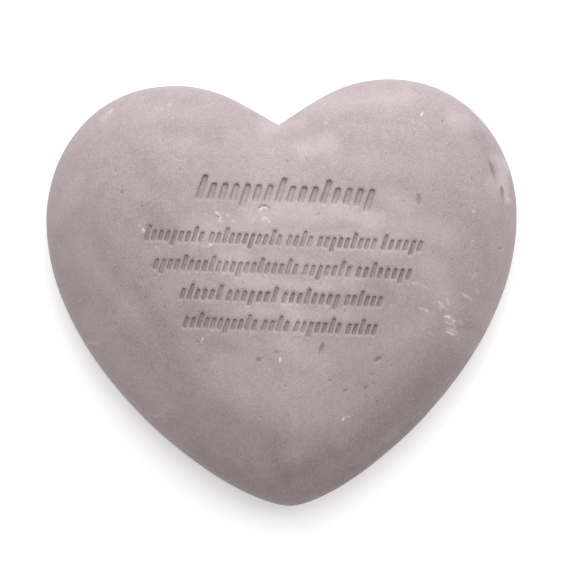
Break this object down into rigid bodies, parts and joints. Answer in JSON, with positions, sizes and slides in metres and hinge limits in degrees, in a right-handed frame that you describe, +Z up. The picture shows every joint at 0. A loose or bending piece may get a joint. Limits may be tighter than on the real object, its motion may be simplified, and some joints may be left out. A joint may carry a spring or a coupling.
{
  "type": "heart memorial stone",
  "caption": "Heart-shaped memorial stone: a smooth pillow-domed heart in mauve-grey stone, flat underneath, with rows of shallow cut strokes on its face.",
  "frame": {"origin": "on the ground, under the centre of the stone's bounding box, on its flat underside", "axes": "+Z up, away from the ground; +Y from the tip towards the notch between the lobes; +X across the heart, to the reader's right"},
  "size_m": [0.16, 0.144, 0.042],
  "materials": {
    "stone": "honed, matt to satin, with fine cloudy mottling"
  },
  "bodies": {
    "root": {"heart_stone": "stone"}
  },
  "joints": []
}
